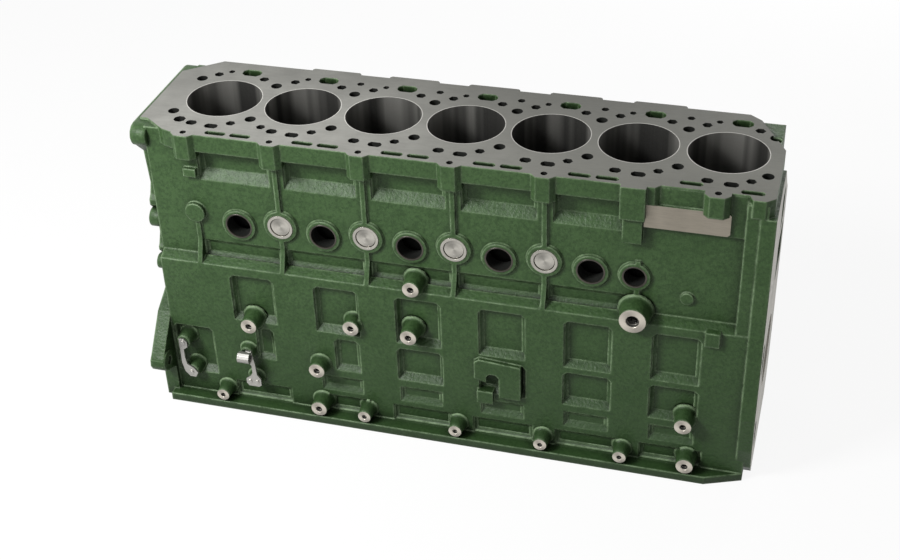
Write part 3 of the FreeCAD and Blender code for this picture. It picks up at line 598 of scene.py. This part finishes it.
def islands(mesh, polygons):
    """Corner points of polygons that hang together, one list for each group."""
    chains = []
    places = {}
    for polygon in polygons:
        chains.append(corner_keys(mesh, polygon))
        places.update(zip(chains[-1], (mesh.vertices[i].co for i in polygon.vertices)))
    return [[places[key] for key in group] for group in groups(chains)]


def rim_loops(mesh, polygons):
    """Loops of corners along the open edges of a set of polygons."""
    edges = {}
    for polygon in polygons:
        keys = corner_keys(mesh, polygon)
        for a, b in zip(keys, keys[1:] + keys[:1]):
            pair = (min(a, b), max(a, b))
            edges[pair] = edges.get(pair, 0) + 1
    return groups([pair for pair, count in edges.items() if count == 1])


def span(points, axis):
    """Least and greatest of some points' places along an axis."""
    places = [p[axis] for p in points]
    return min(places), max(places)


def near_faces(mesh, distance):
    """Faces that look along -Y at a distance from the middle."""
    return [p for p in mesh.polygons
            if p.normal.y < -FACING and abs(p.center.y + distance) < LEVEL_SLACK]


def rounds(mesh, polygons):
    """Centre, outer and inner radius of each round face that looks along -Y."""
    found = []
    for points in islands(mesh, polygons):
        x, z = sum(span(points, 0)) / 2.0, sum(span(points, 2)) / 2.0
        reach = [math.hypot(p.x - x, p.z - z) for p in points]
        centre = Vector((x, span(points, 1)[0], z))
        found.append((centre, max(reach), min(reach)))
    return found


def ring_rounds(sizes):
    """Centre, outer and inner radius of the core hole rings."""
    found = []
    for loop in rim_loops(BLOCK, near_faces(BLOCK, RING_FACE)):
        (x0, x1), (z0, z1) = span(loop, 0), span(loop, 2)
        inner = (x1 - x0) / 2.0
        is_round = abs((x1 - x0) - (z1 - z0)) < 0.001
        if is_round and CORE_HOLE_RADII[0] < inner < CORE_HOLE_RADII[1]:
            middle = Vector(((x0 + x1) / 2.0, -RING_FACE, (z0 + z1) / 2.0))
            found.append((middle, min(inner, RING_INNER_LIMIT) + sizes.ring_width, inner))
    return found


def boss_rounds():
    return rounds(BLOCK, [p for p in BLOCK.polygons if is_boss_face(p.center, p.normal)])


def deck_openings():
    """Boxes round the rims of all holes in the deck: x0, x1, y0, y1."""
    loops = rim_loops(BLOCK, [p for p in BLOCK.polygons if is_deck(p.normal, p.center)])
    boxes = [span(loop, 0) + span(loop, 1) for loop in loops]
    boxes.sort(key=lambda b: b[1] - b[0])
    return boxes[:-1]


def is_deck(normal, centre):
    return normal.z > FACING and abs(centre.z - DECK) < LEVEL_SLACK


def is_bore(points):
    if span(points, 2)[1] < BORE_FOOT + FOOT_SLACK:
        return False
    for i in range(CYLINDERS):
        x = ROW_MIDDLE + (i - CYLINDERS // 2) * BORE_PITCH
        if all(abs(math.hypot(p.x - x, p.y) - BORE_RADIUS) < BORE_SLACK for p in points):
            return True
    return False


def is_crank_bore(points, normal):
    if abs(normal.x) > 0.2:
        return False
    for radius in (BEARING_RADIUS, SEAL_RADIUS):
        reach = [math.hypot(p.y, p.z - CRANK_HEIGHT) for p in points]
        if all(abs(r - radius) < CRANK_SLACK for r in reach):
            return True
    return False


def opening_width(points, openings):
    """Width along X of the deck opening whose wall or floor has these points, or None."""
    slack = 0.0004
    for x0, x1, y0, y1 in openings:
        if all(x0 - slack < p.x < x1 + slack and y0 - slack < p.y < y1 + slack for p in points):
            return x1 - x0
    return None


def is_boss_face(centre, normal):
    if normal.y > -FACING or centre.z < RAIL_TOP or abs(centre.x) > BLOCK_END - END_ZONE:
        return False
    return centre.y < -BOSS_REACH and abs(centre.y + LUG_FACE) > 0.0005


def within(points, middle, radius):
    """Whether all points are near an axis that runs along Y."""
    return all(math.hypot(p.x - middle.x, p.z - middle.z) < radius for p in points)


def is_inside(centre):
    """Within the timing space, the crankcase or the water space."""
    if abs(centre.x) > BLOCK_END - END_ZONE:
        return abs(centre.y) < TIMING_HALF_WIDTH and centre.z < TIMING_ROOF
    if centre.z < CRANKCASE_ROOF:
        return abs(centre.y) < CRANKCASE_HALF_WIDTH
    return abs(centre.y) < WATER_HALF_WIDTH and centre.z < WATER_ROOF


def surface_of(points, centre, normal, openings, bosses, rings):
    """Which finish a polygon of the casting has, by its place."""
    if is_bore(points):
        return "bore"
    if is_crank_bore(points, normal):
        return "machined"
    if is_deck(normal, centre):
        return "deck"
    if normal.z < -FACING and centre.z < LEVEL_SLACK:
        return "machined"
    if centre.z > DECK - HOLE_DEPTH:
        width = opening_width(points, openings)
        if width:
            return "paint" if width > WIDE_OPENING and abs(normal.z) < 0.5 else "raw"
    if abs(normal.x) > FACING and abs(centre.x) > BLOCK_END - 0.0005:
        return "end"
    if is_boss_face(centre, normal):
        return "boss"
    on_pad = normal.y < -FACING and abs(centre.y + PAD_FACE) < LEVEL_SLACK
    if on_pad and PAD_HEIGHTS[0] < centre.z < PAD_HEIGHTS[1]:
        return "pad"
    for middle, outer, _ in bosses:
        if centre.y < -BOSS_HOLE_REACH and within(points, middle, 0.62 * outer):
            return "thread"
    for middle, _, inner in rings:
        if centre.y < -CORE_HOLE_REACH and within(points, middle, inner + 0.0008):
            return "raw"
    if is_inside(centre):
        return "raw"
    return "paint"


# Small pieces

def add_piece(name, sides, corners, place, material):
    """Closed piece whose corners come as one loop of points for each of its sides."""
    count = len(corners) // sides
    faces = []
    for k in range(sides):
        a, b = k * count, (k + 1) % sides * count
        faces += [(a + j, b + j, b + (j + 1) % count, a + (j + 1) % count) for j in range(count)]
    mesh = bpy.data.meshes.new(name)
    mesh.from_pydata(corners, [], faces)
    mesh.validate()
    mesh.update()
    mesh.polygons.foreach_set("use_smooth", [True] * len(mesh.polygons))
    mesh.set_sharp_from_angle(angle=SHARP_ANGLE)
    mesh.materials.append(material)
    item = bpy.data.objects.new(name, mesh)
    bpy.context.scene.collection.objects.link(item)
    item.location = place
    bpy.context.view_layer.update()
    return item


def directions(sides):
    """Cosine and sine of evenly spaced turns."""
    turns = [2.0 * math.pi * k / sides for k in range(sides)]
    return [(math.cos(turn), math.sin(turn)) for turn in turns]


def lathe(name, profile, place, material, sides=48):
    """Closed piece turned round -Y. The profile lists radius and distance out from the place."""
    corners = [(r * x, -out, r * z) for x, z in directions(sides) for r, out in profile]
    return add_piece(name, sides, corners, place, material)


def skirt(name, middle, radius, fillet, wall, material, sides=40):
    """Cast skin round a boss, with a fillet that follows the wall behind it."""
    corners = []
    lead, shallowest, deepest, under = 0.010, 0.003, 0.035, 0.0004
    core = 0.85 * radius
    reach = radius + fillet
    for x, z in directions(sides):
        start = Vector((middle.x + reach * x, middle.y - lead, middle.z + reach * z))
        hit = wall.ray_cast(start, Vector((0, 1, 0)), lead + deepest)[0]
        depth = min(max(hit.y - middle.y, shallowest), deepest) if hit else deepest
        f = min(fillet, 0.7 * depth)
        lip = min(0.0012, 0.3 * depth)
        neck = depth - f
        foot = radius + 0.10 * neck
        profile = [(radius - lip, 0.0), (radius - 0.3 * lip, 0.3 * lip), (radius, lip),
                   (radius + 0.05 * neck, lip + 0.6 * (neck - lip)), (foot, neck),
                   (foot + 0.10 * f, depth - 0.6 * f), (foot + 0.25 * f, depth - 0.35 * f),
                   (foot + 0.5 * f, depth - 0.14 * f), (foot + f, depth + under),
                   (core, depth + under), (core, lip)]
        corners += [(r * x, out, r * z) for r, out in profile]
    return add_piece(name, sides, corners, middle, material)


def inset(outline, step):
    """The outline moved inwards, with mitred corners. It runs anticlockwise seen from -Y."""
    moved = []
    count = len(outline)
    for k in range(count):
        before, here, after = outline[k - 1], outline[k], outline[(k + 1) % count]
        normals = []
        for a, b in ((before, here), (here, after)):
            run = Vector((b[0] - a[0], b[1] - a[1])).normalized()
            normals.append(Vector((-run.y, run.x)))
        mitre = (normals[0] + normals[1]) / (1.0 + normals[0].dot(normals[1]))
        moved.append((here[0] + step * mitre.x, here[1] + step * mitre.y))
    return moved


def draft_strip(name, outline, floor, rise, width, material):
    """Sloped foot along the walls of a recess: floor is its floor's place along Y."""
    corners = []
    count = len(outline)
    loops = [(inset(outline, across * width), floor - up * rise)
             for across, up in ((0.0, 1.0), (0.22, 0.48), (0.5, 0.17))]
    foot = inset(outline, width)
    back = floor + 0.0010
    loops += [(foot, floor - 0.0002), (foot, back), (outline, back)]
    for k in range(count):
        corners += [(loop[k][0], y, loop[k][1]) for loop, y in loops]
    return add_piece(name, count, corners, (0.0, 0.0, 0.0), material)


def thread_sleeve(name, middle, radius, sizes, material, sides=28):
    """Threads just inside a boss's hole."""
    turns = int(sizes.thread_depth / sizes.thread_pitch)
    half = sizes.thread_pitch / 2.0
    crest = radius - 0.55 * sizes.thread_pitch
    back = radius + 0.0004
    mouth = 0.0005
    profile = []
    for k in range(turns):
        profile += [(radius, -mouth - 2 * k * half), (crest, -mouth - (2 * k + 1) * half)]
    profile += [(back, -mouth - 2 * turns * half), (back, -mouth)]
    return lathe(name, profile, middle, material, sides)


def dress(names, material):
    """Gives the nodes of these names one material."""
    for name in names:
        mesh = NODES[name].data
        mesh.materials.clear()
        mesh.materials.append(material)


# Operators

class BLOCK_OT_shared_effects(bpy.types.Operator):
    """Builds the node groups that several finishes share"""
    bl_idname = "engine_block.shared_effects"
    bl_label = "Shared effects"

    def execute(self, context):
        cast_grain_group()
        edge_wear_and_highlight_group()
        hollow_group()
        turned_group()
        machining_group()
        return {"FINISHED"}


class BLOCK_OT_casting(bpy.types.Operator):
    """Gives the casting its paint, its machined faces and its honed bores"""
    bl_idname = "engine_block.casting"
    bl_label = "Casting"

    def execute(self, context):
        scene = context.scene
        metal = scene.block_metal
        finishes = {
            "paint": green_paint(scene.block_paint),
            "deck": milled_deck(metal),
            "machined": machined_iron(new_material("Machined iron"), metal.machined, 0.45),
            "end": machined_iron(new_material("Machined end face"), metal.machined, 0.5, 0.4),
            "pad": machined_iron(new_material("Machined pad"), metal.pad, 0.35, 0.4),
            "boss": machined_iron(new_material("Spot-faced boss"), metal.boss, 0.3,
                                  spacing=0.0008),
            "thread": threaded_iron(metal),
            "bore": honed_bore(metal),
            "raw": raw_iron(metal),
        }
        BLOCK.materials.clear()
        for material in finishes.values():
            BLOCK.materials.append(material)
        order = list(finishes)
        openings = deck_openings()
        bosses = boss_rounds()
        rings = ring_rounds(scene.block_sizes)
        if len(openings) < 20 or not bosses or not rings:
            raise RuntimeError("The casting's openings, bosses or rings weren't found")
        for polygon in BLOCK.polygons:
            points = [BLOCK.vertices[v].co for v in polygon.vertices]
            key = surface_of(points, polygon.center, polygon.normal, openings, bosses, rings)
            polygon.material_index = order.index(key)
        return {"FINISHED"}


class BLOCK_OT_caps(bpy.types.Operator):
    """Gives the main bearing caps their machined iron"""
    bl_idname = "engine_block.caps"
    bl_label = "Main bearing caps"

    def execute(self, context):
        metal = context.scene.block_metal
        iron = machined_iron(new_material("Bearing cap iron"), metal.machined, 0.6, 0.45)
        dress([name for name in NODES if name.startswith("main_bearing_cap")], iron)
        return {"FINISHED"}


class BLOCK_OT_plugs(bpy.types.Operator):
    """Gives the core plugs and gallery plugs their steel"""
    bl_idname = "engine_block.plugs"
    bl_label = "Plugs"

    def execute(self, context):
        finish = steel("Pressed plug steel", context.scene.block_metal.plug, 0.28)
        dress(("core_plugs_near", "core_plugs_far", "oil_gallery_plugs"), finish)
        return {"FINISHED"}


class BLOCK_OT_boss_skirts(bpy.types.Operator):
    """Adds the cast skins of bosses, rings and lugs, and the bosses' bare faces and threads"""
    bl_idname = "engine_block.boss_skirts"
    bl_label = "Boss skirts"

    def execute(self, context):
        sizes = context.scene.block_sizes
        metal = context.scene.block_metal
        wall = BVHTree.FromPolygons([v.co for v in BLOCK.vertices],
                                    [tuple(p.vertices) for p in BLOCK.polygons])
        paint = bpy.data.materials["Green cast paint"]
        face = turned_steel("Spot face", metal.boss, 0.32)
        thread = bpy.data.materials["Tapped hole"]
        bosses = boss_rounds()
        for number, (middle, outer, inner) in enumerate(bosses, start=1):
            radius = outer + sizes.boss_growth
            item = skirt("boss_skirt_%d" % number, middle, radius, sizes.fillet, wall, paint)
            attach(item, "root")
            hole, rim = inner - 0.0002, radius - 0.0006
            profile = [(hole, -SUNK), (hole, -0.0006), (inner + 0.0008, PROUD),
                       (radius - 0.0012, PROUD), (rim, 0.0001), (rim, -SUNK)]
            item = lathe("boss_face_%d" % number, profile, middle, face, sides=40)
            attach(item, "root")
            bore = inner * math.cos(math.pi / 8.0) - 0.0001
            item = thread_sleeve("boss_thread_%d" % number, middle, bore, sizes, thread)
            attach(item, "root")
        others = {"core_ring": ring_rounds(sizes),
                  "lug": rounds(BLOCK, near_faces(BLOCK, LUG_FACE))}
        for kind, found in others.items():
            for number, (middle, outer, _) in enumerate(found, start=1):
                name = "%s_skirt_%d" % (kind, number)
                item = skirt(name, middle, outer, sizes.fillet, wall, paint)
                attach(item, "root")
        if len(bosses) < 10:
            raise RuntimeError("The wall's bosses weren't found")
        return {"FINISHED"}


class BLOCK_OT_recess_drafts(bpy.types.Operator):
    """Adds the cast draft along the foot of the walls of the recesses on the near side"""
    bl_idname = "engine_block.recess_drafts"
    bl_label = "Recess drafts"

    def execute(self, context):
        draft = context.scene.block_sizes.draft
        paint = bpy.data.materials["Green cast paint"]
        made = 0
        for floor, top, depth, slope, corner in RECESS_ROWS:
            faces = [p for p in near_faces(BLOCK, -floor) if p.center.z < top]
            for points in islands(BLOCK, faces):
                (left, right), (low, high) = span(points, 0), span(points, 2)
                low -= slope
                if right - left < SMALLEST_RECESS[0] or high - low < SMALLEST_RECESS[1]:
                    continue
                outline = [(left, low), (right, low), (right, high - corner),
                           (right - corner, high), (left + corner, high), (left, high - corner)]
                made += 1
                item = draft_strip("recess_draft_%d" % made, outline, floor, 0.9 * depth,
                                   min(draft, 0.28 * (high - low)), paint)
                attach(item, "root")
        if made < 20:
            raise RuntimeError("The recesses of the near wall weren't found")
        return {"FINISHED"}


class BLOCK_OT_flange_bosses(bpy.types.Operator):
    """Adds the round cast bosses of the bolts that hold the front flange"""
    bl_idname = "engine_block.flange_bosses"
    bl_label = "Flange bosses"

    def execute(self, context):
        paint = bpy.data.materials["Green cast paint"]
        back = 0.0012
        made = 0
        for across, height, radius, length in FLANGE_BOSSES:
            for side in (-1.0, 1.0):
                edge = 0.22 * radius
                core = 0.4 * radius
                profile = [(radius - 0.0005, back), (radius, 0.0020), (radius, length - edge),
                           (radius - 0.3 * edge, length - 0.3 * edge), (radius - edge, length),
                           (core, length), (core, back)]
                made += 1
                place = (BLOCK_LOW[0], side * across, height)
                item = lathe("flange_boss_%d" % made, profile, place, paint)
                item.rotation_euler = (0.0, 0.0, math.pi / 2.0)
                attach(item, "root")
        return {"FINISHED"}


class BLOCK_OT_hole_rims(bpy.types.Operator):
    """Adds the thin bare chamfer round the mouth of each open core hole"""
    bl_idname = "engine_block.hole_rims"
    bl_label = "Core hole rims"

    def execute(self, context):
        sizes = context.scene.block_sizes
        finish = turned_steel("Bare chamfer", dimmed(context.scene.block_metal.pad, 0.28), 0.30)
        plugs = NODES["core_plugs_near"].data
        plugged = [found[0] for found in rounds(plugs, plugs.polygons)]
        made = 0
        for middle, _, inner in ring_rounds(sizes):
            if any((middle - place).length < inner for place in plugged):
                continue
            hole, edge = inner - 0.0003, inner + sizes.rim_width
            profile = [(hole, -SUNK), (hole, 0.0001), (inner + 0.85 * sizes.rim_width, 0.0006),
                       (edge, 0.0003), (edge, -SUNK)]
            made += 1
            rim = lathe("core_hole_rim_%d" % made, profile, middle, finish)
            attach(rim, "root")
        if not made:
            raise RuntimeError("The open core holes weren't found")
        return {"FINISHED"}


class BLOCK_OT_plug_faces(bpy.types.Operator):
    """Adds the pressed, dished face inside each core plug on the near side"""
    bl_idname = "engine_block.plug_faces"
    bl_label = "Core plug faces"

    def execute(self, context):
        finish = turned_steel("Pressed plug face", context.scene.block_metal.plug, 0.24)
        plugs = NODES["core_plugs_near"].data
        mouth = min(v.co.y for v in plugs.vertices)
        back, eye = -0.0085, 0.0001
        mouths = rounds(plugs, near_faces(plugs, -mouth))
        for number, (middle, _, inner) in enumerate(mouths, start=1):
            cup = inner - 0.0004
            profile = [(cup, back), (cup, -0.0034), (inner - 0.0013, -0.0020),
                       (0.62 * inner, -0.0018), (0.56 * inner, -0.0026), (0.1 * inner, -0.0028),
                       (eye, -0.0028), (eye, back)]
            face = lathe("core_plug_face_%d" % number, profile, middle, finish)
            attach(face, "root")
        return {"FINISHED"}


class BLOCK_OT_brackets(bpy.types.Operator):
    """Gives the two riveted brackets their steel"""
    bl_idname = "engine_block.brackets"
    bl_label = "Brackets"

    def execute(self, context):
        finish = steel("Bracket steel", context.scene.block_metal.bracket, 0.36)
        dress(("strap_bracket", "looped_bracket"), finish)
        return {"FINISHED"}


def add_lamp(name, place, target, size, power):
    lamp = bpy.data.lights.new(name, "AREA")
    lamp.shape = "RECTANGLE"
    lamp.size, lamp.size_y = size
    lamp.energy = power
    item = bpy.data.objects.new(name, lamp)
    bpy.context.scene.collection.objects.link(item)
    item.location = place
    aim = Vector(target) - Vector(place)
    item.rotation_euler = aim.to_track_quat("-Z", "Y").to_euler()


def shows_background(g):
    """1 for the rays that should see the plain background: camera, gloss and glass."""
    path = g.node("ShaderNodeLightPath").outputs
    seen = g.maths("MAXIMUM", path["Is Camera Ray"], path["Is Glossy Ray"])
    return g.maths("MAXIMUM", seen, path["Is Transmission Ray"])


class BLOCK_OT_stage(bpy.types.Operator):
    """Sets up the floor, the room's light, the lamps and the camera"""
    bl_idname = "engine_block.stage"
    bl_label = "Stage"

    def execute(self, context):
        scene = context.scene
        look = scene.block_stage
        scene.view_settings.view_transform = "Standard"
        self.make_floor(look)
        self.make_room(scene, look)
        for name, place, target, size, power in LAMPS:
            add_lamp(name, place, target, size, getattr(look, power))
        self.make_camera(scene, look)
        return {"FINISHED"}

    def make_floor(self, look):
        half = FLOOR_HALF
        mesh = bpy.data.meshes.new("floor")
        mesh.from_pydata([(-half, -half, 0), (half, -half, 0), (half, half, 0), (-half, half, 0)],
                         [], [(0, 1, 2, 3)])
        floor = bpy.data.objects.new("floor", mesh)
        bpy.context.scene.collection.objects.link(floor)
        material, g, shader = new_material("Pale floor")
        seen = shows_background(g)
        tone = (look.floor_tone, look.floor_tone, look.floor_tone, 1.0)
        g.feed(shader, Base_Color=g.blend(seen, tone, FLOOR_SEEN), Roughness=0.9,
               Specular_IOR_Level=0.0)
        white = g.node("ShaderNodeEmission", Color=WHITE, Strength=1.0)
        mix = g.node("ShaderNodeMixShader", Fac=g.times(seen, look.floor_white))
        g.put(mix.inputs[1], shader.outputs["BSDF"])
        g.put(mix.inputs[2], white.outputs[0])
        output = next(n for n in material.node_tree.nodes if n.type == "OUTPUT_MATERIAL")
        g.feed(output, Surface=mix.outputs[0])
        mesh.materials.append(material)

    def make_room(self, scene, look):
        world = bpy.data.worlds.new("Room")
        scene.world = world
        world.use_nodes = True
        g = Graph(world.node_tree)
        strength = g.ranged(shows_background(g), 0.0, 1.0, look.sky, 1.0)
        background = g.node("ShaderNodeBackground", Color=WHITE, Strength=strength)
        g.node("ShaderNodeOutputWorld", Surface=background.outputs[0])

    def make_camera(self, scene, look):
        camera = bpy.data.cameras.new("Camera")
        camera.lens = look.lens
        camera.sensor_width = SENSOR_WIDTH
        camera.clip_end = VIEW_DEPTH
        item = bpy.data.objects.new("Camera", camera)
        scene.collection.objects.link(item)
        a, e, r = look.azimuth, look.elevation, look.roll
        ahead = Vector((math.sin(a) * math.cos(e), math.cos(a) * math.cos(e), -math.sin(e)))
        level = ahead.cross(Vector((0, 0, 1))).normalized()
        above = level.cross(ahead)
        right = level * math.cos(r) + above * math.sin(r)
        up = above * math.cos(r) - level * math.sin(r)
        turn = Matrix((right, up, -ahead)).transposed().to_4x4()
        item.matrix_world = Matrix.Translation(Vector(look.camera_place)) @ turn
        scene.camera = item


class BLOCK_PT_panel(bpy.types.Panel):
    """Lists the block's steps and settings"""
    bl_idname = "BLOCK_PT_panel"
    bl_label = "Engine block"
    bl_space_type = "VIEW_3D"
    bl_region_type = "UI"
    bl_category = "Engine block"

    def draw(self, context):
        for step in STEPS:
            self.layout.operator(step.bl_idname)
        for group in SETTINGS:
            settings = getattr(context.scene, group)
            column = self.layout.column()
            for key in settings.__annotations__:
                column.prop(settings, key)


STEPS = (BLOCK_OT_shared_effects, BLOCK_OT_casting, BLOCK_OT_boss_skirts,
         BLOCK_OT_recess_drafts, BLOCK_OT_flange_bosses, BLOCK_OT_caps, BLOCK_OT_plugs,
         BLOCK_OT_plug_faces, BLOCK_OT_hole_rims, BLOCK_OT_brackets, BLOCK_OT_stage)
SETTINGS = {"block_sizes": BlockSizes, "block_paint": PaintLook, "block_metal": MetalLook,
            "block_stage": StageLook}


def register():
    for name, group in SETTINGS.items():
        bpy.utils.register_class(group)
        setattr(bpy.types.Scene, name, bpy.props.PointerProperty(type=group))
    for step in STEPS:
        bpy.utils.register_class(step)
    bpy.utils.register_class(BLOCK_PT_panel)


def unregister():
    bpy.utils.unregister_class(BLOCK_PT_panel)
    for step in reversed(STEPS):
        bpy.utils.unregister_class(step)
    for name, group in SETTINGS.items():
        delattr(bpy.types.Scene, name)
        bpy.utils.unregister_class(group)


def main():
    register()
    bpy.ops.engine_block.shared_effects()
    bpy.ops.engine_block.casting()
    bpy.ops.engine_block.boss_skirts()
    bpy.ops.engine_block.recess_drafts()
    bpy.ops.engine_block.flange_bosses()
    bpy.ops.engine_block.caps()
    bpy.ops.engine_block.plugs()
    bpy.ops.engine_block.plug_faces()
    bpy.ops.engine_block.hole_rims()
    bpy.ops.engine_block.brackets()
    bpy.ops.engine_block.stage()


if __name__ == "__main__":
    main()
